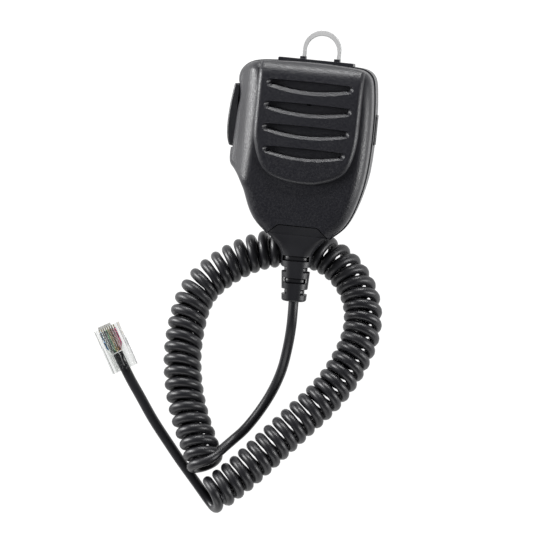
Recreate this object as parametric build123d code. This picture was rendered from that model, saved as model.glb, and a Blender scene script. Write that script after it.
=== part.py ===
from build123d import *
import math
import os

# Hand microphone with a press-to-talk bar, a folding hanger loop, a curly cord and a modular plug.
# Millimetres. +X is the user's right, +Y runs up the case to the hanger loop, +Z comes out of the front.
# The case lies on its flat back at z = 0, and x = 0 is the centre line of the grille and the cord outlet.

# ---- case ----
CASE_CENTRE_X = -2.0        # middle of the whole width, the side bulge included
CASE_HALF_WIDTH = 32.0
CASE_TOP_Y = 40.2
CASE_FOOT_Y = -39.0
BULGE_X = -34.4             # side wall that carries the press-to-talk bar
FRONT_Z = 33.4              # front surface at mid height
ISLAND_RISE = 2.4           # how far the grille pillow stands above the front
WALL = 2.3
SHELL_STEP = 0.5            # the front shell sits this much inside the rear shell
FRONT_EDGE_RADIUS = 5.0
BACK_EDGE_RADIUS = 4.0
PARTING_Z = 17.0
PARTING_BEND_Y = -14.0      # below this height the parting line climbs towards the cord outlet
PARTING_FOOT_Z = 24.0
FOOT_X = 14.3               # half width of the foot, all of it taken by the strain relief's collar
BACK_FLAT_Y = -8.0          # the back is flat above this height and tapers below it
BACK_FOOT_Z = 17.6
GAP = 0.2
SEAM = 0.35                 # open seam between the front shell and the collar

# ---- grille ----
SLOT_COUNT = 4
SLOT_PITCH = 9.95
SLOT_TOP_Y = 31.3           # top edge of the highest slot
SLOT_HEIGHT = 5.9
SLOT_HALF_WIDTH = 19.5
SLOT_FLOOR_Z = 32.3
SLOT_LIP = 1.4              # bevel along the lower edge and the ends of a slot
ISLAND_HALF_WIDTH = 23.6
CAPSULE_Y = 20.9

# ---- press-to-talk bar ----
PTT_LOW_Y, PTT_HIGH_Y = -1.2, 27.4
PTT_LOW_Z, PTT_HIGH_Z = 7.0, 22.0
PTT_BULGE = 3.0             # how far the bar stands out of the side wall
PTT_PIVOT = (-30.4, 23.2)
PTT_PIN_RADIUS = 0.8
EAR_LOW_Z = 11.2            # the pivot ear starts above the spring
PTT_BOSS_Y = 4.0            # height at which the bar meets the switch
PLUNGER_TIP_X = -27.7
SWITCH_FACE_X = -25.9

# ---- hanger loop ----
LOOP_PIVOT_Y, LOOP_PIVOT_Z = 38.2, 2.0
LOOP_OUTER_RADIUS, LOOP_INNER_RADIUS = 8.9, 7.0
LOOP_TOP_Y = 54.6
LOOP_CROWN = 2.5
LOOP_THICKNESS = 1.6
HANGER_PIN_RADIUS = 0.8
HANGER_BORE_RADIUS = 0.85

# ---- inside ----
CAP_X = 27.7                # bottom of the side cap's recess
BOARD_Z = 21.0
BOARD_THICKNESS = 1.6
CASE_SCREWS = [(-19.2, 29.6), (19.2, 29.6), (-15.5, -24.0), (15.5, -24.0)]
BOARD_SCREWS = [(-17.5, 14.0), (17.5, 14.0), (-13.0, -14.0), (13.0, -14.0)]
CLAMP_Y = -29.9
CLAMP_Z = 23.5              # underside of the cable clamp's ears
CLAMP_SCREW_X = 6.2
TAIL_END = -11.4            # where the jacket ends inside the case, along the strain relief's axis
CORE_RADIUS = 0.42

# ---- strain relief ----
COLLAR_TOP_Y = -34.0        # where the collar's seam crosses the front shell
BOOT_START = (0.1, CASE_FOOT_Y, 23.9)
BOOT_LEAN = 0.022           # sideways drift per millimetre of boot
BOOT_DROOP = 0.040          # fall per millimetre of boot
BOOT_LENGTH = 29.0
BOOT_BODY_START = 8.0
BOOT_ROOT = (13.8, 11.0)    # width and height where the slotted sleeve starts
BOOT_TIP = (11.1, 9.8)
BOOT_GROOVES = [9.4, 14.4, 19.5, 24.6]
GROOVE_WIDTH = 2.5
GROOVE_DEPTH = 1.3
BEAD_RADIUS = 0.9           # the floor of a groove is a rounded bead

# ---- cord ----
CORD_DIAMETER = 4.6
COIL_DIAMETER = 17.7
STRAIGHT_OUT = 10.5         # first run of the cord, in line with the strain relief
COIL_Z = 8.9
COIL_ROUTE = [
    (-34.4, -148.3), (-38.0, -140.5), (-42.6, -131.0), (-47.4, -116.5), (-49.9, -100.5), (-49.4, -85.5),
    (-46.2, -70.4), (-36.9, -59.5), (-23.0, -49.9), (-8.0, -45.0), (8.2, -45.0), (21.2, -51.8),
    (30.1, -63.8), (32.5, -78.0), (28.9, -92.5), (20.3, -109.3), (6.5, -125.0), (-9.0, -142.8),
    (-21.5, -156.6), (-26.0, -160.6),
]
MIC_LEAD_ROUTE = [
    (-0.4, -90.0, 16.2), (-2.5, -100.6, 9.8), (-6.4, -111.6, 4.6), (-11.8, -122.4, 2.5),
    (-18.6, -132.6, 2.5), (-23.6, -137.6, 5.0), (-27.4, -141.2, 11.4), (-31.2, -145.2, 15.4),
]
PLUG_LEAD_ROUTE = [
    (-25.6, -163.4, 9.6), (-26.8, -169.0, 6.4), (-30.6, -167.6, 2.8), (-36.7, -161.5, 2.4),
    (-45.6, -151.8, 2.4), (-54.4, -141.3, 2.4), (-62.4, -131.4, 2.4), (-69.2, -121.6, 2.4),
]

# ---- modular plug, 8 positions ----
PLUG_LENGTH, PLUG_WIDTH, PLUG_HEIGHT = 21.5, 11.7, 6.6
PLUG_REAR = (-76.7, -110.2)
PLUG_ANGLE = 119.7
PLUG_AXIS_Z = 3.3
WIRE_COUNT = 8
CONTACT_PITCH = 1.02
JACKET_IN_PLUG = 8.5
LATCH_ROOT_X, LATCH_ROOT_Z = 18.0, 6.68    # the latch bends here, just clear of the housing


def block(x_range, y_range, z_range):
    """A box given by its three ranges."""
    size = [high - low for low, high in (x_range, y_range, z_range)]
    middle = [(high + low) / 2 for low, high in (x_range, y_range, z_range)]
    return Pos(*middle) * Box(*size)


def post(x, y, radius, z_low, z_high):
    """An upright cylinder."""
    return Pos(x, y, (z_low + z_high) / 2) * Cylinder(radius, z_high - z_low)


def rod_x(y, z, radius, x_low, x_high):
    """A cylinder along X."""
    return Pos((x_low + x_high) / 2, y, z) * Rot(0, 90, 0) * Cylinder(radius, x_high - x_low)


def rod_between(start, end, radius):
    """A cylinder from one point to another."""
    direction = Vector(*end) - Vector(*start)
    plane = Plane(origin=start, z_dir=direction)
    return extrude(plane * Circle(radius), amount=direction.length)


def face_of(*curves):
    """The face bounded by these curves, taken end to end."""
    return make_face(Wire([edge for curve in curves for edge in curve.edges()]))


def across(profile):
    """A side view profile extruded along X, past both sides of the case."""
    return extrude(Plane.YZ.offset(-60) * profile, amount=120)


def side_prism(points):
    """The solid seen as this polygon in the YZ plane, wider than the case."""
    return across(make_face(Polyline(*points, close=True)))


def filleted(solid, edges, radii):
    """The solid with its edges rounded by the first radius that they take."""
    for radius in radii:
        try:
            rounded = fillet(edges, radius)
            if rounded.is_valid:
                return rounded
        except ValueError:
            continue
    print("edges left sharp:", len(edges))
    return solid


# ------------------------------------------------------------------ case form

def case_outline(inset):
    """The case seen from the front, drawn in by an inset."""
    def p(x, y):
        return (CASE_CENTRE_X + (x - CASE_CENTRE_X) * (1 - inset / CASE_HALF_WIDTH),
                y * (1 - inset / CASE_TOP_Y))
    top = ThreePointArc(p(-22, 39.3), p(-1, CASE_TOP_Y), p(20.0, 39.3))
    right_corner = Spline(p(20.0, 39.3), p(25.8, 36.5), p(27.9, 28.5), tangents=[(1, -0.0864), (0.12, -1)])
    right_flank = Spline(p(27.9, 28.5), p(28.75, 8), p(27.55, -11), p(24.3, -25), p(19.5, -34.2),
                         p(FOOT_X, CASE_FOOT_Y), tangents=[(0.12, -1), (-1, -1)])
    foot = Line(p(FOOT_X, CASE_FOOT_Y), p(-FOOT_X, CASE_FOOT_Y))
    left_flank = Spline(p(-FOOT_X, CASE_FOOT_Y), p(-19.8, -34.2), p(-25.0, -25), p(-28.4, -17),
                        p(-33.4, -11), p(-35.5, -5.2), tangents=[(-1, 1), (0, 1)])
    bulge = Spline(p(-35.5, -5.2), p(-34.7, 5.0), p(-33.7, 17.0), p(-33.2, 23.5), p(-34.6, 29.2),
                   tangents=[(0, 1), (-0.1, 1)])
    left_corner = Spline(p(-34.6, 29.2), p(-31.6, 36.3), p(-22, 39.3), tangents=[(-0.1, 1), (1, 0.0864)])
    return face_of(top, right_corner, right_flank, foot, left_flank, bulge, left_corner)


def front_profile(rise):
    """Everything under the front surface, seen from the side, moved out by a rise."""
    front = Spline((-45, FRONT_Z - 5.0 + rise), (-34, FRONT_Z - 2.8 + rise), (-10, FRONT_Z - 0.4 + rise),
                   (20, FRONT_Z + 0.2 + rise), (33, FRONT_Z - 0.4 + rise),
                   tangents=[(1, 0.25), (1, -0.15)])
    roll_off = Spline((33, FRONT_Z - 0.4 + rise), (38.6, FRONT_Z - 3.6 + rise), (41, 20),
                      tangents=[(1, -0.15), (0.1, -1)])
    rest = Polyline((41, 20), (41, -5), (-45, -5), (-45, FRONT_Z - 5.0 + rise))
    return across(face_of(front, roll_off, rest))


def back_region(lift):
    """Everything in front of the back surface: flat, then tapering up to the cord outlet."""
    slope_end = BACK_FOOT_Z + lift
    return side_prism([(45, lift), (BACK_FLAT_Y, lift), (CASE_FOOT_Y, slope_end), (-46, slope_end),
                       (-46, 50), (45, 50)])


def case_form(inset, edge_radius):
    """The outer form of the case without its back, its shoulder sloping down to the side wall."""
    form = extrude(case_outline(inset), amount=60) & front_profile(-0.9 * inset)
    sink = inset * 0.9
    slope = Spline((-44, 13.5 - sink), (BULGE_X, 22.4 - sink), (-31.2, 25.9 - sink), (-28.4, 30.0 - sink),
                   (-25.4, 32.6 - sink), (-19.0, FRONT_Z + 0.9 - sink), tangents=[(1, 0.9), (1, 0.12)])
    above = Polyline((-19.0, FRONT_Z + 0.9 - sink), (-19.0, 52), (-44, 52), (-44, 13.5 - sink))
    form -= Pos(0, 60, 0) * extrude(Plane.XZ * face_of(slope, above), amount=120)
    edges = [e for e in form.edges()
             if e.center().Z > 18 and e.center().Y > CASE_FOOT_Y + 1.5 and abs((e % 0.5).Z) < 0.9]
    return filleted(form, edges, [edge_radius - 0.25 * step for step in range(8)])


def parting_prism(front, clearance):
    """The region in front of, or behind, the parting line of the two shells."""
    far = 60 if front else -20
    shift = clearance if front else -clearance
    return side_prism([(60, PARTING_Z + shift), (PARTING_BEND_Y, PARTING_Z + shift),
                       (CASE_FOOT_Y, PARTING_FOOT_Z + shift), (-60, PARTING_FOOT_Z + shift),
                       (-60, far), (60, far)])


def collar_prism(gap):
    """The mouth at the foot of the case that the strain relief fills."""
    foot, side, top = FOOT_X + 1.1 + gap, FOOT_X - 0.1 + gap, 8.8 + gap * 0.8
    outline = Polyline((-foot, -40.4), (-side, CASE_FOOT_Y + 0.2), (-top, COLLAR_TOP_Y + gap),
                       (top, COLLAR_TOP_Y + gap), (side, CASE_FOOT_Y + 0.2), (foot, -40.4), close=True)
    prism = extrude(make_face(outline), amount=50)
    corners = prism.edges().filter_by(Axis.Z).group_by(Axis.Y)[-1]
    return fillet(corners, 2.2)


# ------------------------------------------------------------------ front shell

def island():
    """The raised pillow around the grille, with a soft edge all round."""
    half = ISLAND_HALF_WIDTH
    right = Spline((half, 12), (22.8, 2), (17.8, -9.3), (8.0, -13.9), (0, -14.7),
                   tangents=[(0, -1), (-1, 0)])
    left = Spline((0, -14.7), (-8.0, -13.9), (-17.8, -9.3), (-22.8, 2), (-half, 12),
                  tangents=[(-1, 0), (0, 1)])
    rest = Polyline((-half, 12), (-half, 41), (half, 41), (half, 12))
    pillow = extrude(face_of(right, left, rest), amount=50)
    pillow &= front_profile(ISLAND_RISE)
    pillow &= extrude(case_outline(SHELL_STEP + 0.2), amount=50)
    pillow &= block((-40, 40), (-40, 60), (24, 50))
    rim = [e for e in pillow.edges() if e.center().Z > 31 and e.length > 3]
    return filleted(pillow, rim, [2.2, 1.8, 1.4, 1.0])


def grille_slot(index):
    """One blind slot: steep upper wall, bevelled bowed lower lip and conical ends."""
    top = SLOT_TOP_Y - index * SLOT_PITCH
    foot = top - SLOT_HEIGHT
    half = SLOT_HALF_WIDTH - (0.9 if index == SLOT_COUNT - 1 else 0.0)

    def mouth(height, out, top_y):
        """The slot's outline at a height, moved out at its ends and lower edge."""
        end_x, shoulder = half + out, half + out - 1.7
        end_foot = foot + 2.2 - out * 0.9
        middle = (top_y - 0.3 + end_foot) / 2
        upper = ThreePointArc((-shoulder, top_y - 0.3), (0, top_y), (shoulder, top_y - 0.3))
        right = ThreePointArc((shoulder, top_y - 0.3), (end_x, middle), (shoulder, end_foot))
        lower = ThreePointArc((shoulder, end_foot), (0, foot - out), (-shoulder, end_foot))
        left = ThreePointArc((-shoulder, end_foot), (-end_x, middle), (-shoulder, top_y - 0.3))
        return Pos(0, 0, height) * face_of(upper, right, lower, left)

    lip_z = FRONT_Z + ISLAND_RISE - SLOT_LIP
    pocket = loft([mouth(SLOT_FLOOR_Z, -SLOT_LIP - 0.3, top - 0.3), mouth(lip_z, -SLOT_LIP, top - 0.1)], ruled=True)
    bevel = loft([mouth(lip_z, -SLOT_LIP, top - 0.1), mouth(lip_z + 3, 3 - SLOT_LIP, top + 0.1)], ruled=True)
    return pocket + bevel


def front_case(inner):
    """Front shell: grille pillow, slots, sound port, bosses for the screws and the board."""
    outer = case_form(SHELL_STEP, FRONT_EDGE_RADIUS) & parting_prism(True, 0.05)
    shell = (outer + island()) - inner
    bosses = [post(x, y, 3.0, PARTING_Z, 40) for x, y in CASE_SCREWS]
    bosses += [post(x, y, 2.4, BOARD_Z + BOARD_THICKNESS, 40) for x, y in BOARD_SCREWS]
    bosses += [post(*PTT_PIVOT, 2.2, PTT_HIGH_Z + 0.5, 40)]
    room = inner & parting_prism(True, 0.05)
    for boss in bosses:
        shell += boss & room
    for index in range(SLOT_COUNT):
        shell -= grille_slot(index)
    shell -= Pos(0, CAPSULE_Y, 28) * extrude(SlotOverall(2.2, 0.7), amount=8)
    shell -= collar_prism(SEAM)
    shell -= ptt_window()
    for x, y in CASE_SCREWS:
        shell -= post(x, y, 1.05, PARTING_Z - 1, 27.5)
    for x, y in BOARD_SCREWS:
        shell -= post(x, y, 0.85, BOARD_Z, 28.5)
    shell -= post(*PTT_PIVOT, PTT_PIN_RADIUS + 0.05, PARTING_Z, 24.2)
    return main_solid(shell)


def main_solid(shape):
    """The largest solid of a result, which drops slivers that a cut leaves loose."""
    return max(shape.solids(), key=lambda solid: solid.volume)


# ------------------------------------------------------------------ rear shell

def ptt_window():
    return block((-45, BULGE_X + 6), (PTT_LOW_Y - 0.8, PTT_HIGH_Y + 0.5), (PTT_LOW_Z - 0.3, PTT_HIGH_Z + 0.3))


def side_cap():
    """Rubber cap over the adjustment hole in the right side, with a finger lip."""
    cap = block((CAP_X, 29.2), (5.2, 18.8), (5.2, 12.8))
    cap = fillet(cap.edges().filter_by(Axis.X), 0.8)
    return cap - block((28.7, 30), (6.4, 17.6), (8.2, 9.8))


def rear_case(outer, inner):
    """Rear shell: flat back, loop recess and knuckles, screw wells, cable clamp pillars."""
    region = parting_prism(False, 0.05)
    shell = (outer - inner) & region
    pad = block((-17.8, 16.4), (36, 40.95), (6.0, PARTING_Z - 0.5))
    shell += pad.fillet(0.5, pad.edges().filter_by(Axis.Z).group_by(Axis.Y)[-1]) - inner
    reach = LOOP_TOP_Y - LOOP_PIVOT_Y + 0.8
    shell += block((-12.6, 12.6), (LOOP_PIVOT_Y - reach - 2.0, 39.8), (0, 6.6)) & outer
    shell -= block((-10.6, 10.6), (LOOP_PIVOT_Y - reach, 46), (-1, 4.7))
    for side in (-1, 1):
        x_low, x_high = sorted((side * 3.6, side * 6.8))
        knuckle = rod_x(LOOP_PIVOT_Y, LOOP_PIVOT_Z, 1.95, x_low, x_high)
        shell += knuckle + block((x_low, x_high), (LOOP_PIVOT_Y - 1.9, LOOP_PIVOT_Y + 1.0), (LOOP_PIVOT_Z, 5.2))
        x_low, x_high = sorted((side * 6.5, side * 9.1))
        shell += block((x_low, x_high), (40.4, 42.1), (1.9, 6.6)) + block((x_low, x_high), (39.4, 42.1), (4.6, 6.6))
    shell -= rod_x(LOOP_PIVOT_Y, LOOP_PIVOT_Z, HANGER_BORE_RADIUS, -20, 20)
    for x, y in CASE_SCREWS:
        shell += post(x, y, 3.5, -1, 40) & outer & region
    for x, y in CASE_SCREWS:
        seat = screw_seat(y)
        shell -= post(x, y, 2.6, -2, seat)
        shell -= post(x, y, 1.35, seat - 1, 40)
    for side in (-1, 1):
        shell += (post(side * CLAMP_SCREW_X, CLAMP_Y, 2.2, 5, CLAMP_Z - 0.05) & outer)
        shell -= post(side * CLAMP_SCREW_X, CLAMP_Y, 0.8, 17.5, 30)
    shell += post(*PTT_PIVOT, 2.2, 1, PTT_LOW_Z - 0.5) & outer
    shell -= post(*PTT_PIVOT, PTT_PIN_RADIUS + 0.05, 3.5, PTT_LOW_Z + 1)
    shell -= ptt_window()
    shell -= collar_prism(GAP)
    shell -= block((CAP_X - 0.05, 34), (5.0, 19.0), (5.0, 13.0))
    return main_solid(shell)


def screw_seat(y):
    """Height of the shoulder that a case screw's head pulls down on."""
    return 2.9 if y > 0 else 12.6


def screw(x, y, head_z, head_radius, head_height, radius, length):
    """A pan head screw pointing up from its head, with a cross recess."""
    body = post(x, y, head_radius, head_z - head_height, head_z) + post(x, y, radius, head_z, head_z + length)
    arm = head_radius * 1.2
    for angle in (0, 90):
        body -= Pos(x, y, head_z - head_height) * Rot(0, 0, angle) * Box(arm, 0.6, 1.2)
    return body


# ------------------------------------------------------------------ hanger loop

def hanger_loop():
    """Stamped steel loop whose two legs curl round the hanger pin."""
    centre_y = LOOP_TOP_Y - LOOP_OUTER_RADIUS
    outer = Pos(0, centre_y) * Circle(LOOP_OUTER_RADIUS)
    outer += Pos(0, (centre_y + LOOP_PIVOT_Y) / 2) * Rectangle(2 * LOOP_OUTER_RADIUS, centre_y - LOOP_PIVOT_Y)
    inner_y = LOOP_TOP_Y - LOOP_CROWN - LOOP_INNER_RADIUS
    inner = Pos(0, inner_y) * Circle(LOOP_INNER_RADIUS)
    inner += Pos(0, inner_y - 7.5) * Rectangle(2 * LOOP_INNER_RADIUS, 15)
    keep = Pos(0, LOOP_PIVOT_Y + 10) * Rectangle(40, 20)
    plate = extrude(((outer - inner) & keep), amount=LOOP_THICKNESS)
    plate = fillet(plate.edges().filter_by(GeomType.CIRCLE).sort_by(SortBy.LENGTH)[-4:], 0.35)
    loop = plate
    for side in (-1, 1):
        x_low, x_high = sorted((side * LOOP_INNER_RADIUS, side * LOOP_OUTER_RADIUS))
        loop += rod_x(LOOP_PIVOT_Y, LOOP_PIVOT_Z, 1.95, x_low, x_high)
    loop -= rod_x(LOOP_PIVOT_Y, LOOP_PIVOT_Z, HANGER_BORE_RADIUS, -20, 20)
    return main_solid(loop)


def hanger_pin():
    """Headed pin through the loop's curls and the two knuckles."""
    reach = LOOP_OUTER_RADIUS + 0.1
    pin = rod_x(LOOP_PIVOT_Y, LOOP_PIVOT_Z, HANGER_PIN_RADIUS, -reach, reach)
    for side in (-1, 1):
        x_low, x_high = sorted((side * reach, side * (reach + 0.6)))
        pin += rod_x(LOOP_PIVOT_Y, LOOP_PIVOT_Z, 1.3, x_low, x_high)
    return pin


# ------------------------------------------------------------------ press-to-talk bar

def ptt_lever():
    """Bowed bar in the side window, with a pivot ear, a stop tab and a boss for the switch."""
    inner_x = BULGE_X + 0.9
    low, high = (inner_x, PTT_LOW_Y), (inner_x, PTT_HIGH_Y)
    low_edge = (BULGE_X - PTT_BULGE + 1.7, PTT_LOW_Y + 0.3)
    high_edge = (BULGE_X - PTT_BULGE + 1.7, PTT_HIGH_Y - 0.2)
    crest = (BULGE_X - PTT_BULGE, 11.0)
    outline = face_of(Line(low, low_edge), Spline(low_edge, crest, high_edge, tangents=[(-0.5, 1), (0.15, 1)]),
                      Line(high_edge, high), Line(high, low))
    bar = Pos(0, 0, PTT_LOW_Z) * extrude(outline, amount=PTT_HIGH_Z - PTT_LOW_Z)
    outside = [e for e in bar.edges() if e.center().X < inner_x - 0.5]
    bar = filleted(bar, outside, [0.9, 0.7, 0.5])
    mid_z = (PTT_LOW_Z + PTT_HIGH_Z) / 2
    bar += block((inner_x - 0.5, -30.2), (PTT_LOW_Y + 1.0, 22.0), (mid_z - 2.5, mid_z + 2.5))
    bar += post(*PTT_PIVOT, 2.0, EAR_LOW_Z, PTT_HIGH_Z - 0.6)
    bar += block((inner_x - 0.5, PTT_PIVOT[0]), (21.6, 25.0), (EAR_LOW_Z, PTT_HIGH_Z - 0.6))
    bar += block((-31.4, -30.2), (PTT_LOW_Y - 3.4, PTT_LOW_Y + 1.4), (mid_z - 4, mid_z + 4))
    bar += block((-30.4, PLUNGER_TIP_X - 0.05), (PTT_BOSS_Y - 1.6, PTT_BOSS_Y + 1.6), (16.2, 18.9))
    bar += block((-31.0, -30.2), (PTT_BOSS_Y - 1.6, PTT_BOSS_Y + 1.6), (mid_z - 2.5, 18.9))
    bar -= post(*PTT_PIVOT, PTT_PIN_RADIUS + 0.05, 0, 30)
    return main_solid(bar)


def ptt_pivot_pin():
    return post(*PTT_PIVOT, PTT_PIN_RADIUS, 3.6, 24.1)


def ptt_spring():
    """The wound body of the torsion spring, round the pivot pin and under the ear."""
    x, y = PTT_PIVOT
    radius, wire, pitch, turns = 1.45, 0.28, 0.72, 4
    low_z = PTT_LOW_Z + 0.3
    helix = Pos(x, y, low_z) * Helix(pitch=pitch, height=pitch * turns, radius=radius)
    start = Plane(origin=helix @ 0, z_dir=helix % 0)
    return sweep(start * Circle(wire), path=helix, is_frenet=True)


def switch_body():
    """Square body of the press-to-talk switch, under the edge of the board."""
    body = block((SWITCH_FACE_X, SWITCH_FACE_X + 6.2), (PTT_BOSS_Y - 3.1, PTT_BOSS_Y + 3.1), (14.6, BOARD_Z - 0.05))
    body = fillet(body.edges().filter_by(Axis.X), 0.5)
    body -= rod_x(PTT_BOSS_Y, 17.6, 1.35, SWITCH_FACE_X - 1, SWITCH_FACE_X + 3.2)
    return body


def switch_plunger():
    plunger = rod_x(PTT_BOSS_Y, 17.6, 1.25, PLUNGER_TIP_X, SWITCH_FACE_X + 2.0)
    return fillet(plunger.edges().sort_by(Axis.X)[0], 0.4)


# ------------------------------------------------------------------ board and microphone

def circuit_board():
    outline = Polyline((-25, -11), (-25, 9), (-22, 11), (-22, 25.5), (22, 25.5), (22, -11), (16, -20),
                       (16, -26.5), (-16, -26.5), (-16, -20), close=True)
    board = Pos(0, 0, BOARD_Z) * extrude(make_face(outline), amount=BOARD_THICKNESS)
    for x, y in BOARD_SCREWS:
        board -= post(x, y, 1.15, 0, 40)
    for x, y in CASE_SCREWS:
        board -= post(x, y, 3.9, 0, 40)
    return board


def mic_capsule():
    capsule = post(0, CAPSULE_Y, 4.85, 25.6, 30.1)
    capsule = fillet(capsule.edges().filter_by(GeomType.CIRCLE), 0.4)
    return capsule - post(0, CAPSULE_Y, 1.0, 29.6, 31)


def mic_holder():
    """Rubber cup that holds the capsule between the board and the front wall."""
    top = 30.75
    holder = post(0, CAPSULE_Y, 6.2, BOARD_Z + BOARD_THICKNESS + 0.05, top)
    holder -= post(0, CAPSULE_Y, 4.9, 25.5, top + 1)
    holder -= post(0, CAPSULE_Y, 3.0, BOARD_Z, 26)
    return holder


def board_parts():
    """Components on the board: capacitors, chip parts and the cord header's locking rib."""
    top = BOARD_Z + BOARD_THICKNESS + 0.02
    parts = [post(-15.0, 4.0, 2.5, top, top + 5.4), post(15.0, 5.0, 2.0, top, top + 5.0)]
    for k in range(5):
        parts.append(block((-10.0 + 4.4 * k, -8.0 + 4.4 * k), (4.0, 5.25), (top, top + 0.8)))
        parts.append(block((-10.0 + 4.4 * k, -8.0 + 4.4 * k), (-2.0, -0.75), (top, top + 0.8)))
    parts.append(block((-3.2, 3.2), (-11.5, -6.5), (top, top + 1.5)))
    return parts


def cord_header():
    top = BOARD_Z + BOARD_THICKNESS + 0.02
    header = block((-6.2, 6.2), (-25.0, -20.4), (top, top + 4.2))
    for k in range(WIRE_COUNT):
        x = (k - (WIRE_COUNT - 1) / 2) * 1.4
        header -= rod_between((x, -26, top + 2.3), (x, -22, top + 2.3), 0.55)
    return header


def cord_wires():
    """Eight cores fanned from the end of the jacket into the header."""
    wires = []
    tail = boot_point(TAIL_END - 0.35)
    bore_z = BOARD_Z + BOARD_THICKNESS + 2.32
    for k in range(WIRE_COUNT):
        lane = k - (WIRE_COUNT - 1) / 2
        start = (tail[0] + 0.46 * lane, tail[1], tail[2] + (0.5 if k % 2 else -0.5))
        bend = (1.4 * lane, -25.5, bore_z)
        wire = rod_between(start, bend, CORE_RADIUS) + Pos(*bend) * Sphere(CORE_RADIUS)
        wires.append(wire + rod_between(bend, (bend[0], -22.2, bore_z), CORE_RADIUS))
    return wires


# ------------------------------------------------------------------ strain relief and clamp

def boot_point(s):
    """A point on the strain relief's axis, s along it from the foot of the case."""
    return (BOOT_START[0] + BOOT_LEAN * s, BOOT_START[1] - s, BOOT_START[2] - BOOT_DROOP * s)


def boot_plane(s):
    return Plane(origin=boot_point(s), x_dir=(1, BOOT_LEAN, 0), z_dir=(BOOT_LEAN, -1, -BOOT_DROOP))


def boot_section(s, width, height, radius):
    return boot_plane(s) * RectangleRounded(width, height, radius)


def strain_relief(outer):
    """Flared collar, neck and slotted sleeve, moulded in one piece."""
    collar = outer & collar_prism(0)
    mouth = Plane(origin=(0, CASE_FOOT_Y + 1.0, 23.65), x_dir=(1, 0, 0), z_dir=(0, -1, 0))
    root, tip = BOOT_ROOT, BOOT_TIP
    flare = loft([mouth * RectangleRounded(28.0, 12.1, 3.4), boot_section(1.6, 22.6, 11.2, 4.4),
                  boot_section(4.0, 18.3, 11.0, 4.8), boot_section(6.2, 15.4, 11.0, 4.8),
                  boot_section(BOOT_BODY_START, *root, 4.8)])
    body = loft([boot_section(BOOT_BODY_START, *root, 4.8), boot_section(BOOT_LENGTH, *tip, 4.4)])
    body = fillet(body.faces().sort_by(Axis.Y)[0].edges(), 1.0)
    for index, s in enumerate(BOOT_GROOVES):
        share = (s - BOOT_BODY_START) / (BOOT_LENGTH - BOOT_BODY_START)
        width, height = (a + (b - a) * share for a, b in zip(root, tip))
        plane = boot_plane(s - GROOVE_WIDTH / 2)
        slab = extrude(plane * Rectangle(30, 30), amount=GROOVE_WIDTH)
        band = extrude(plane * Rectangle(width - 1.5 if index % 2 == 0 else width - 5.4, 30), amount=GROOVE_WIDTH)
        groove = slab & band if index % 2 == 0 else slab - band
        bead = extrude(plane * RectangleRounded(width - 2 * GROOVE_DEPTH, height - 2 * GROOVE_DEPTH, 3.0),
                       amount=GROOVE_WIDTH)
        ends = bead.faces().sort_by(Axis.Y)
        body -= groove - fillet(ends[0].edges() + ends[-1].edges(), BEAD_RADIUS)
    relief = collar + flare + body
    relief += block((-11.0, 11.0), (COLLAR_TOP_Y - 0.4, COLLAR_TOP_Y + 1.1), (18.8, 26.6))
    relief -= rod_between(boot_point(-12), boot_point(BOOT_LENGTH + 2), CORD_DIAMETER / 2 + 0.05)
    return main_solid(relief)


def cable_clamp():
    """Steel strap that holds the jacket down on the two pillars of the rear shell."""
    centre_z = boot_point(CASE_FOOT_Y - CLAMP_Y)[2]
    clamp = block((-8.4, 8.4), (CLAMP_Y - 1.8, CLAMP_Y + 1.8), (CLAMP_Z, CLAMP_Z + 0.9))
    hump = Pos(0, CLAMP_Y, centre_z) * Rot(90, 0, 0) * Cylinder(CORD_DIAMETER / 2 + 1.0, 3.6)
    clamp += hump & block((-9, 9), (CLAMP_Y - 3, CLAMP_Y + 3), (CLAMP_Z, 40))
    clamp -= rod_between(boot_point(-14), boot_point(2), CORD_DIAMETER / 2 + 0.06)
    for side in (-1, 1):
        clamp -= post(side * CLAMP_SCREW_X, CLAMP_Y, 1.0, 20, 30)
    return main_solid(clamp)


def clamp_screw(side):
    body = post(side * CLAMP_SCREW_X, CLAMP_Y, 1.7, CLAMP_Z + 0.92, CLAMP_Z + 2.15)
    body += post(side * CLAMP_SCREW_X, CLAMP_Y, 0.75, 18.4, CLAMP_Z + 0.95)
    return body


# ------------------------------------------------------------------ cord

def routed_tube(points, diameter, name):
    """A tube along straight runs joined by tangent arcs, each as large as its two runs allow."""
    path = [Vector(*p) for p in points]
    radii = []
    for before, corner, after in zip(path, path[1:], path[2:]):
        first, second = corner - before, after - corner
        turn = math.radians(first.get_angle(second))
        radii.append(0.45 * min(first.length, second.length) / math.tan(turn / 2))
    line = FilletPolyline(*path, radius=radii)
    start = Plane(origin=path[0], z_dir=path[1] - path[0])
    tube = sweep(start * Circle(diameter / 2), path=line)
    expected = math.pi * diameter ** 2 / 4 * line.length
    print(f"{name}: radii {[round(r, 1) for r in radii]}, length {line.length:.1f},"
          f" volume ratio {tube.volume / expected:.4f}, valid {tube.is_valid}")
    return tube


def plug_location():
    """Plug coordinates: x from the rear face to the nose, y across, z up from the table."""
    return Pos(PLUG_REAR[0], PLUG_REAR[1], 0) * Rot(0, 0, PLUG_ANGLE)


def in_plug(x, y, z):
    point = plug_location() * Pos(x, y, z)
    return tuple(point.position)


# ------------------------------------------------------------------ modular plug

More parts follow.
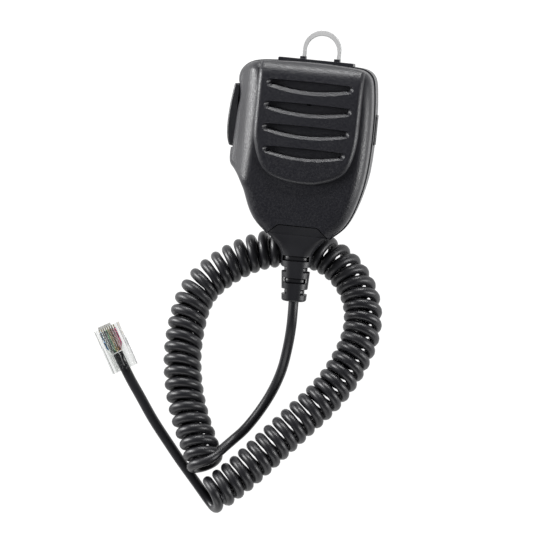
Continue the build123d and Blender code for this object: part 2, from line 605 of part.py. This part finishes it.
def plug_housing():
    """Clear housing: cable mouth, wire channel, contact slots and the wedge that grips the jacket."""
    half = PLUG_WIDTH / 2
    body = block((0, PLUG_LENGTH), (-half, half), (0, PLUG_HEIGHT))
    body = fillet(body.edges().filter_by(Axis.X), 0.35)
    body -= block((13.2, PLUG_LENGTH + 1), (-half - 1, -half + 0.45), (-1, 1.6))
    body -= block((13.2, PLUG_LENGTH + 1), (half - 0.45, half + 1), (-1, 1.6))
    body -= block((-1, 9.6), (-3.9, 3.9), (0.75, 5.85))
    body -= block((9.5, 19.6), (-4.25, 4.25), (2.75, 4.05))
    for k in range(WIRE_COUNT):
        y = (k - (WIRE_COUNT - 1) / 2) * CONTACT_PITCH
        body -= block((14.6, PLUG_LENGTH + 1), (y - 0.25, y + 0.25), (-1, 3.2))
    body -= block((2.6, 5.6), (-2.4, 2.4), (5.8, PLUG_HEIGHT + 1))
    body += block((3.0, 5.2), (-2.0, 2.0), (5.66, 6.2))
    body += block((2.4, 3.2), (-2.6, 2.6), (5.86, 6.4))
    return main_solid(body)


def plug_latch():
    """Spring latch: rooted at the nose, its tab reaching back over the housing."""
    outline = Polyline((PLUG_LENGTH + 1.2, LATCH_ROOT_Z), (PLUG_LENGTH + 1.2, 7.5), (17.6, 8.9), (16.6, 9.0),
                       (1.8, 9.9), (1.6, 9.1), (15.6, 7.6), (LATCH_ROOT_X, LATCH_ROOT_Z), close=True)
    profile = extrude(Plane.XZ * make_face(outline), amount=6, both=True)
    shoulder = block((14.2, PLUG_LENGTH + 2), (-3.05, 3.05), (6, 11))
    tab = block((1, 15), (-1.7, 1.7), (6, 11))
    return profile & (shoulder + tab)


def plug_contacts():
    blades = []
    for k in range(WIRE_COUNT):
        y = (k - (WIRE_COUNT - 1) / 2) * CONTACT_PITCH
        blades.append(block((15.0, 21.2), (y - 0.17, y + 0.17), (0.55, 2.7)))
    return blades


def plug_wires():
    """The eight cores, side by side in the wire channel and gathered into the jacket."""
    wires = []
    for k in range(WIRE_COUNT):
        lane = k - (WIRE_COUNT - 1) / 2
        gather = (JACKET_IN_PLUG + 0.35, lane * 0.5, 3.3 + (0.3 if k % 2 else -0.3))
        bend = (12.0, lane * CONTACT_PITCH, 3.4)
        wire = rod_between(gather, bend, 0.36) + Pos(*bend) * Sphere(0.42)
        wire += rod_between(bend, (19.4, lane * CONTACT_PITCH, 3.4), 0.42)
        wires.append(wire)
    return wires


# ------------------------------------------------------------------ writing

def write(name, shape):
    """One STEP file per node: a solid, or a group of separate solids."""
    solids = [s for item in (shape if isinstance(shape, list) else [shape]) for s in item.solids()]
    group = solids[0] if len(solids) == 1 else Compound(children=solids)
    export_step(group, os.path.join("parts", name + ".step"))
    print(f"{name}: {len(solids)} solids, {sum(s.volume for s in solids) / 1000:.3f} cm3")


def main():
    os.makedirs("parts", exist_ok=True)
    inner = case_form(WALL, FRONT_EDGE_RADIUS - 1.5) & back_region(2.0)
    inner = main_solid(inner)
    outer = case_form(0, FRONT_EDGE_RADIUS) & back_region(0)
    back_edges = [e for e in outer.edges() if e.center().Z < 16 and abs(e.center().Y) < 39.0
                  and e.bounding_box().max.Z < 19]
    back_edges += [e for e in outer.edges() if e.center().Z < 1 and e.center().Y > 39]
    outer = filleted(outer, back_edges, [BACK_EDGE_RADIUS, 3.0, 2.0, 1.0])

    write("front_case", front_case(inner))
    write("rear_case", rear_case(outer, inner))
    write("strain_relief", strain_relief(case_form(SHELL_STEP, FRONT_EDGE_RADIUS) & back_region(0)))
    write("hanger_loop", hanger_loop())
    write("hanger_pin", hanger_pin())
    write("ptt_lever", ptt_lever())
    write("ptt_pivot_pin", ptt_pivot_pin())
    write("ptt_spring", ptt_spring())
    write("ptt_switch_body", switch_body())
    write("ptt_switch_plunger", switch_plunger())
    write("side_cap", side_cap())
    write("circuit_board", circuit_board())
    write("board_parts", board_parts())
    write("mic_capsule", mic_capsule())
    write("mic_holder", mic_holder())
    write("mic_screen", post(0, CAPSULE_Y, 4.6, 30.2, 30.7))
    write("cord_header", cord_header())
    write("cord_wires", cord_wires())
    write("cord_tail", rod_between(boot_point(TAIL_END), boot_point(BOOT_LENGTH), CORD_DIAMETER / 2))
    write("cable_clamp", cable_clamp())
    write("clamp_screws", [clamp_screw(side) for side in (-1, 1)])
    write("case_screws", [screw(x, y, screw_seat(y), 2.3, 1.8, 1.0, 24.0 - screw_seat(y)) for x, y in CASE_SCREWS])
    write("board_screws", [screw(x, y, BOARD_Z - 0.02, 1.8, 1.2, 0.8, 6.6) for x, y in BOARD_SCREWS])

    lead_start = [boot_point(BOOT_LENGTH), boot_point(BOOT_LENGTH + STRAIGHT_OUT)]
    write("cord_mic_lead", routed_tube(lead_start + MIC_LEAD_ROUTE, CORD_DIAMETER, "mic lead"))
    write("cord_coil", routed_tube([(x, y, COIL_Z) for x, y in COIL_ROUTE], COIL_DIAMETER, "coil"))
    plug_end = [in_plug(-3.0, 0, PLUG_AXIS_Z - 0.3), in_plug(JACKET_IN_PLUG, 0, PLUG_AXIS_Z)]
    write("cord_plug_lead", routed_tube(PLUG_LEAD_ROUTE + plug_end, CORD_DIAMETER, "plug lead"))

    place = plug_location()
    write("plug_housing", place * plug_housing())
    write("plug_latch", place * plug_latch())
    write("plug_contacts", [place * blade for blade in plug_contacts()])
    write("plug_wires", [place * wire for wire in plug_wires()])


main()
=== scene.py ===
import math

import bpy
from mathutils import Matrix, Vector


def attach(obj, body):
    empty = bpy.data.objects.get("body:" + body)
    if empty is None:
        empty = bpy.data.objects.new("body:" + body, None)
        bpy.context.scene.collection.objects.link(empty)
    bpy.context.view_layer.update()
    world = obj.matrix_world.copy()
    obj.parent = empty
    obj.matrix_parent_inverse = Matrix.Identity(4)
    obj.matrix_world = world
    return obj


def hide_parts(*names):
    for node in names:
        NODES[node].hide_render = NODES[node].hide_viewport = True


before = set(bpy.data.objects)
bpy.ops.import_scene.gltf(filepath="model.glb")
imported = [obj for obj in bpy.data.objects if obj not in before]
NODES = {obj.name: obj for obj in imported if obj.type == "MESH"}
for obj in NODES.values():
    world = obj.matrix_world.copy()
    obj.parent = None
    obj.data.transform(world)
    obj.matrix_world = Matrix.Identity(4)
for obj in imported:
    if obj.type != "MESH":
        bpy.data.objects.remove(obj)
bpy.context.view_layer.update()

MM = 0.001

# ------------------------------------------------------------------ sizes, in millimetres

CORD_DIAMETER = 4.6
COIL_DIAMETER = 17.7
COIL_Z = 8.9

# The cord's route. It follows the CAD model's, with most points moved a little and one added.
BOOT_END = (0.738, -68.0, 22.74)
BOOT_AXIS = (0.022, -1.0, -0.040)
STRAIGHT_OUT = 8.0
MIC_LEAD_ROUTE = [
    (0.4, -83.0, 19.6), (-0.7, -91.0, 15.6), (-2.8, -101.6, 9.4),
    (-6.8, -112.6, 4.6), (-12.2, -123.0, 2.5), (-18.2, -132.2, 2.5),
    (-23.0, -137.2, 4.2), (-27.2, -141.6, 9.4), (-30.4, -145.2, 14.6),
]
COIL_ROUTE = [
    (-33.6, -150.2), (-38.0, -140.0), (-43.0, -129.5), (-47.4, -116.5), (-49.9, -100.5),
    (-49.3, -85.5), (-46.2, -70.4), (-36.9, -59.5), (-23.0, -49.9), (-8.0, -45.0),
    (8.2, -45.0), (21.0, -51.6), (30.1, -63.8), (32.5, -78.0), (28.9, -92.5),
    (20.3, -109.3), (6.5, -124.9), (-9.0, -142.7), (-20.5, -155.5), (-29.0, -162.8),
]
PLUG_LEAD_ROUTE = [
    (-25.4, -167.0, 12.0), (-27.6, -170.4, 5.6), (-31.6, -167.4, 2.6), (-36.7, -161.5, 2.4),
    (-46.9, -150.2, 2.4), (-53.3, -142.5, 2.4), (-61.8, -132.2, 2.4), (-68.7, -122.0, 2.4),
]
PLUG_REAR = (-76.7, -110.2)
PLUG_ANGLE = math.radians(119.7)
PLUG_AXIS_Z = 3.3
BEHIND_PLUG = 3.0           # the cord's last free point, behind the plug's rear face
SAG_BEHIND_PLUG = 0.3
JACKET_IN_PLUG = 8.5

PLUG_CORE_PITCH = 1.02
HEADER_CORE_PITCH = 1.4
CORE_COLOURS = [
    (0.10, 0.28, 0.55), (0.85, 0.85, 0.85), (0.30, 0.30, 0.30), (0.25, 0.50, 0.30),
    (0.85, 0.70, 0.36), (0.36, 0.18, 0.12), (0.85, 0.55, 0.58), (0.85, 0.16, 0.32),
]
COIL_TURNS = 54
POINTS_PER_TURN = 14
# lean of a turn's top along the coil, as a share of its radius, where the coil runs along Y
TURN_LEAN = 0.5
HEADING_REACH = 4.0         # the heading at a point is taken between points this far before and after it


def metres(point):
    return Vector(point) * MM


def plug_point(x, y, z):
    """Plug coordinates: x from the rear face to the nose, y across, z up from the table."""
    c, s = math.cos(PLUG_ANGLE), math.sin(PLUG_ANGLE)
    return Vector((PLUG_REAR[0] + x * c - y * s, PLUG_REAR[1] + x * s + y * c, z))


# ------------------------------------------------------------------ camera

TARGET = Vector((-13.8, -54.4, 17.0)) * MM
CAMERA_DISTANCE = 1.2
LEAN_RIGHT = math.radians(7.0)      # the camera stands this far towards +X
LEAN_UP = math.radians(5.0)         # and this far towards +Y
ROLL = math.radians(6.2)
FRAME_WIDTH = 0.2425                # what the picture's width covers at the target
SENSOR = 36.0


def add_camera():
    out = Vector((math.tan(LEAN_RIGHT), math.tan(LEAN_UP), 1.0)).normalized()
    right = (Vector((1, 0, 0)) - out * out.x).normalized()
    up = out.cross(right)
    screen_right = right * math.cos(ROLL) + up * math.sin(ROLL)
    screen_up = up * math.cos(ROLL) - right * math.sin(ROLL)
    camera_data = bpy.data.cameras.new("camera")
    camera_data.sensor_width = SENSOR
    camera_data.lens = SENSOR * CAMERA_DISTANCE / FRAME_WIDTH
    camera_data.clip_end = 20
    camera = bpy.data.objects.new("camera", camera_data)
    bpy.context.scene.collection.objects.link(camera)
    spot = TARGET + out * CAMERA_DISTANCE
    camera.matrix_world = Matrix((
        (screen_right.x, screen_up.x, out.x, spot.x),
        (screen_right.y, screen_up.y, out.y, spot.y),
        (screen_right.z, screen_up.z, out.z, spot.z),
        (0, 0, 0, 1)))
    bpy.context.scene.camera = camera


# ------------------------------------------------------------------ light and floor, in metres

LIGHT_AIM = (0.0, -0.03, 0.01)
AREA_LIGHTS = [     # name, place, width and height, power in watts
    ("key_left", (-1.0, 0.12, 0.28), (0.25, 0.9), 22),
    ("top_light", (0.00, 1.00, 0.40), (1.0, 0.25), 16),
    ("fill_right", (1.0, -0.10, 0.28), (0.25, 0.8), 10),
    ("low_light", (-0.10, -1.00, 0.30), (0.9, 0.25), 2.5),
]
WORLD_COLOUR = (0.92, 0.94, 1)
WORLD_STRENGTH = 0.11
FLOOR_SIZE = 6
FLOOR_GAP = 0.0003          # keeps the floor clear of the flat back
FLOOR_COLOUR = (0.08, 0.08, 0.08)
FLOOR_GLOW = 1.02


def add_area_light(name, place, size, power):
    light_data = bpy.data.lights.new(name, "AREA")
    light_data.shape = "RECTANGLE"
    light_data.size, light_data.size_y = size
    light_data.energy = power
    light = bpy.data.objects.new(name, light_data)
    bpy.context.scene.collection.objects.link(light)
    direction = Vector(LIGHT_AIM) - Vector(place)
    light.rotation_euler = direction.to_track_quat("-Z", "Y").to_euler()
    light.location = place


def add_stage():
    bpy.context.scene.view_settings.view_transform = "Standard"
    world = bpy.data.worlds.new("studio")
    bpy.context.scene.world = world
    world.use_nodes = True
    background = world.node_tree.nodes["Background"]
    background.inputs["Color"].default_value = (*WORLD_COLOUR, 1)
    background.inputs["Strength"].default_value = WORLD_STRENGTH
    for light in AREA_LIGHTS:
        add_area_light(*light)
    bpy.ops.mesh.primitive_plane_add(size=FLOOR_SIZE, location=(0, 0, -FLOOR_GAP))
    floor = bpy.context.object
    floor.name = "floor"
    floor.data.materials.append(light_table())


def light_table():
    """A plain sheet that gives off white light of its own, so that it stays white under the object."""
    material = plain_material("light_table", FLOOR_COLOUR, 1.0)
    shader = shader_of(material)
    shader.inputs["Emission Color"].default_value = (1, 1, 1, 1)
    shader.inputs["Emission Strength"].default_value = FLOOR_GLOW
    return material


# ------------------------------------------------------------------ materials, in metres

CLEAR_PLASTIC_IOR = 1.58    # polycarbonate


def plain_material(name, colour, roughness, metallic=0.0):
    material = bpy.data.materials.new(name)
    material.use_nodes = True
    shader = material.node_tree.nodes["Principled BSDF"]
    shader.inputs["Base Color"].default_value = (*colour, 1)
    shader.inputs["Roughness"].default_value = roughness
    shader.inputs["Metallic"].default_value = metallic
    return material


def shader_of(material):
    return material.node_tree.nodes["Principled BSDF"]


def node(material, kind):
    return material.node_tree.nodes.new(kind)


def link(material, output, target):
    material.node_tree.links.new(output, target)


def noise(material, scale, detail=2.0, roughness=0.5):
    """Noise in object space, which stays on the surface from every side."""
    coordinates = node(material, "ShaderNodeTexCoord")
    texture = node(material, "ShaderNodeTexNoise")
    texture.inputs["Scale"].default_value = scale
    texture.inputs["Detail"].default_value = detail
    texture.inputs["Roughness"].default_value = roughness
    link(material, coordinates.outputs["Object"], texture.inputs["Vector"])
    return texture.outputs["Fac"]


def ramp(material, value, stops):
    """A colour ramp with these (place, shade) stops; a shade is a colour or one grey level."""
    made = node(material, "ShaderNodeValToRGB")
    elements = made.color_ramp.elements
    while len(elements) < len(stops):
        elements.new(0.5)       # its place is set below
    for element, (place, shade) in zip(elements, stops):
        element.position = place
        element.color = (*shade, 1) if hasattr(shade, "__len__") else (shade, shade, shade, 1)
    link(material, value, made.inputs["Fac"])
    return made.outputs["Color"]


def bump(material, height, distance, strength=1.0, under=None):
    made = node(material, "ShaderNodeBump")
    made.inputs["Distance"].default_value = distance
    made.inputs["Strength"].default_value = strength
    link(material, height, made.inputs["Height"])
    if under is not None:
        link(material, under, made.inputs["Normal"])
    return made.outputs["Normal"]


def grained_plastic(name, dark, light, roughness, grain, depth):
    """Spark-eroded moulded plastic: pebbled grain, a few polished high spots and faint mottling."""
    material = plain_material(name, dark, roughness)
    shader = shader_of(material)
    fine = noise(material, 1.0 / grain, 3.0, 0.7)
    coarse = noise(material, 0.35 / grain, 2.0, 0.6)
    broad = noise(material, 60.0, 2.0)
    pebbles = bump(material, coarse, depth, 0.5)
    link(material, bump(material, fine, depth, 1.0, under=pebbles), shader.inputs["Normal"])
    link(material, ramp(material, broad, [(0.3, dark), (0.75, light)]), shader.inputs["Base Color"])
    spread = ramp(material, fine, [(0.35, roughness + 0.12), (0.65, roughness - 0.1)])
    link(material, spread, shader.inputs["Roughness"])
    return material


def satin_rubber(name, dark, light, roughness, bump_scale=900.0, depth=0.000004):
    """Smooth PVC or rubber with slight waviness and handling marks."""
    material = plain_material(name, dark, roughness)
    shader = shader_of(material)
    broad = noise(material, 45.0, 3.0)
    link(material, ramp(material, broad, [(0.3, dark), (0.7, light)]), shader.inputs["Base Color"])
    link(material, ramp(material, broad, [(0.3, roughness - 0.05), (0.7, roughness + 0.07)]),
         shader.inputs["Roughness"])
    link(material, bump(material, noise(material, bump_scale, 2.0), depth), shader.inputs["Normal"])
    return material


def striped_cores(name, across, pitch, middle, colours):
    """Insulated cores lying side by side: each lane across the bundle takes its own colour."""
    material = plain_material(name, colours[0], 0.35)
    shader = shader_of(material)
    coordinates = node(material, "ShaderNodeTexCoord")
    lane = node(material, "ShaderNodeVectorMath")
    lane.operation = "DOT_PRODUCT"
    lane.inputs[1].default_value = across
    link(material, coordinates.outputs["Object"], lane.inputs[0])
    share = node(material, "ShaderNodeMapRange")
    half = pitch * len(colours) / 2
    share.inputs["From Min"].default_value = middle - half
    share.inputs["From Max"].default_value = middle + half
    link(material, lane.outputs["Value"], share.inputs["Value"])
    bands = node(material, "ShaderNodeValToRGB")
    bands.color_ramp.interpolation = "CONSTANT"
    elements = bands.color_ramp.elements
    elements.remove(elements[1])
    elements[0].position = 0.0
    elements[0].color = (*colours[0], 1)
    for i, colour in enumerate(colours[1:], 1):
        elements.new(i / len(colours)).color = (*colour, 1)
    link(material, share.outputs["Result"], bands.inputs["Fac"])
    link(material, bands.outputs["Color"], shader.inputs["Base Color"])
    link(material, bump(material, noise(material, 1200.0, 2.0), 0.00001), shader.inputs["Normal"])
    return material


def brushed_metal(name, colour, roughness):
    """Bare or plated metal with fine scratches in its gloss."""
    material = plain_material(name, colour, roughness, metallic=1.0)
    shader = shader_of(material)
    scratches = noise(material, 1500.0, 4.0)
    link(material, ramp(material, scratches, [(0.3, roughness - 0.08), (0.7, roughness + 0.12)]),
         shader.inputs["Roughness"])
    link(material, bump(material, scratches, 0.00001), shader.inputs["Normal"])
    return material


def clear_plastic(name):
    """Moulded clear plastic with a slightly uneven surface."""
    material = plain_material(name, (0.87, 0.88, 0.87), 0.08)
    shader = shader_of(material)
    shader.inputs["Transmission Weight"].default_value = 1.0
    shader.inputs["IOR"].default_value = CLEAR_PLASTIC_IOR
    link(material, bump(material, noise(material, 300.0, 1.0), 0.00001, 0.5), shader.inputs["Normal"])
    return material


def dress(names, material):
    for name in names:
        mesh = NODES[name].data
        mesh.materials.clear()
        mesh.materials.append(material)


def dress_shells():
    dress(["front_case", "rear_case"], grained_plastic(
        "case_plastic", dark=(0.0075, 0.0075, 0.0105), light=(0.0105, 0.0105, 0.0135),
        roughness=0.39, grain=0.0009, depth=0.00012))
    dress(["ptt_lever"], grained_plastic(
        "ptt_plastic", dark=(0.006, 0.006, 0.008), light=(0.009, 0.009, 0.011),
        roughness=0.42, grain=0.0006, depth=0.00005))
    dress(["side_cap", "mic_holder"], satin_rubber(
        "cap_rubber", dark=(0.015, 0.015, 0.016), light=(0.02, 0.02, 0.021), roughness=0.5))
    dress(["strain_relief"], satin_rubber(
        "relief_rubber", dark=(0.0065, 0.0065, 0.0085), light=(0.0095, 0.0095, 0.0115), roughness=0.38))
    dress(["cord_tail"], satin_rubber(
        "tail_jacket", dark=(0.014, 0.014, 0.015), light=(0.018, 0.018, 0.02), roughness=0.33))


def dress_hardware():
    dress(["hanger_loop"], satin_rubber(
        "loop_plating", dark=(0.36, 0.36, 0.36), light=(0.42, 0.42, 0.42), roughness=0.5))
    dress(["hanger_pin", "ptt_pivot_pin", "cable_clamp", "ptt_spring"],
          brushed_metal("bright_steel", (0.7, 0.7, 0.7), 0.3))
    dress(["case_screws", "board_screws", "clamp_screws"],
          brushed_metal("black_zinc", (0.12, 0.12, 0.13), 0.35))


def dress_inside():
    dress(["circuit_board"], satin_rubber(
        "solder_resist", dark=(0.01, 0.09, 0.03), light=(0.015, 0.12, 0.04), roughness=0.3))
    dress(["board_parts", "ptt_switch_body"], satin_rubber(
        "component_black", dark=(0.02, 0.02, 0.02), light=(0.04, 0.04, 0.04), roughness=0.4))
    dress(["mic_capsule"], brushed_metal("capsule_can", (0.8, 0.8, 0.79), 0.3))
    dress(["mic_screen"], grained_plastic(
        "acoustic_felt", dark=(0.012, 0.012, 0.012), light=(0.03, 0.03, 0.03),
        roughness=0.9, grain=0.0003, depth=0.0001))
    dress(["cord_header", "ptt_switch_plunger"], satin_rubber(
        "white_nylon", dark=(0.7, 0.69, 0.64), light=(0.78, 0.77, 0.72), roughness=0.4))
    dress(["cord_wires"], striped_cores("core_pvc", (1, 0, 0), HEADER_CORE_PITCH * MM, 0.0, CORE_COLOURS))


def dress_plug():
    across = plug_point(0, -1, 0) - plug_point(0, 0, 0)
    middle = across.dot(metres(plug_point(0, 0, 0)))
    dress(["plug_wires"], striped_cores("plug_cores", across, PLUG_CORE_PITCH * MM, middle, CORE_COLOURS))
    dress(["plug_housing", "plug_latch"], clear_plastic("clear_polycarbonate"))
    dress(["plug_contacts"], brushed_metal("contact_gold", (0.85, 0.62, 0.25), 0.22))


# ------------------------------------------------------------------ cord

def nurbs_curve(name, points, bevel=0.0):
    """A curve object of one smooth open spline through these control points, given in millimetres."""
    curve = bpy.data.curves.new(name, "CURVE")
    curve.dimensions = "3D"
    spline = curve.splines.new("NURBS")
    spline.points.add(len(points) - 1)
    for target, point in zip(spline.points, points):
        target.co = (*metres(point), 1.0)
    spline.order_u = 3
    spline.use_endpoint_u = True
    spline.resolution_u = 4
    curve.bevel_depth = bevel * MM
    curve.bevel_resolution = 5
    curve.use_fill_caps = True
    made = bpy.data.objects.new(name, curve)
    bpy.context.scene.collection.objects.link(made)
    return made


def followed(points):
    """Points in millimetres, in order along the smooth spline of these control points."""
    guide = nurbs_curve("guide", points)
    guide.data.splines[0].resolution_u = 24
    mesh = bpy.data.meshes.new_from_object(guide)
    line = [v.co / MM for v in mesh.vertices]
    bpy.data.meshes.remove(mesh)
    bpy.data.objects.remove(guide)
    return line


class Line:
    """A line that gives its point and heading at any distance along it."""

    def __init__(self, points):
        self.points = points
        self.at = [0.0]
        for before, after in zip(points, points[1:]):
            self.at.append(self.at[-1] + (after - before).length)
        self.length = self.at[-1]

    def point(self, distance):
        distance = min(max(distance, 0.0), self.length)
        low, high = 0, len(self.at) - 1
        while high - low > 1:
            middle = (low + high) // 2
            if self.at[middle] <= distance:
                low = middle
            else:
                high = middle
        share = (distance - self.at[low]) / max(self.at[high] - self.at[low], 1e-9)
        return self.points[low].lerp(self.points[high], share)

    def heading(self, distance):
        return (self.point(distance + HEADING_REACH) - self.point(distance - HEADING_REACH)).normalized()


def coil_turns():
    """The curly stretch: a left-handed helix round the coil's centre line, its turns leaning over."""
    line = Line(followed([(x, y, COIL_Z) for x, y in COIL_ROUTE]))
    # control points stand outside the round turn that the spline makes of them
    radius = (COIL_DIAMETER - CORD_DIAMETER) / 2 / math.cos(math.pi / POINTS_PER_TURN)
    count = COIL_TURNS * POINTS_PER_TURN
    points = []
    for i in range(count + 1):
        share = i / count
        distance = line.length * share
        turn = 2 * math.pi * i / POINTS_PER_TURN
        heading = line.heading(distance)
        left = Vector((-heading.y, heading.x, 0))
        centre = line.point(distance)
        point = centre + radius * (left * math.sin(turn) + Vector((0, 0, 1)) * math.cos(turn))
        point += heading * (TURN_LEAN * radius * math.cos(turn) * heading.y)
        points.append(point)
    return points


def add_cord():
    axis = Vector(BOOT_AXIS)
    start = Vector(BOOT_END)
    plug_end = [plug_point(-BEHIND_PLUG, 0, PLUG_AXIS_Z - SAG_BEHIND_PLUG),
                plug_point(JACKET_IN_PLUG, 0, PLUG_AXIS_Z)]
    points = [start, start + axis * STRAIGHT_OUT]
    points += [Vector(p) for p in MIC_LEAD_ROUTE]
    points += coil_turns()
    points += [Vector(p) for p in PLUG_LEAD_ROUTE] + plug_end
    cord = nurbs_curve("cord", points, CORD_DIAMETER / 2)
    cord.data.materials.append(satin_rubber(
        "cord_jacket", dark=(0.006, 0.006, 0.008), light=(0.008, 0.008, 0.010),
        roughness=0.40, bump_scale=300.0, depth=0.000002))
    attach(cord, "case")
    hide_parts("cord_mic_lead", "cord_coil", "cord_plug_lead")


# ------------------------------------------------------------------ making

add_camera()
add_cord()
add_stage()
dress_shells()
dress_hardware()
dress_inside()
dress_plug()
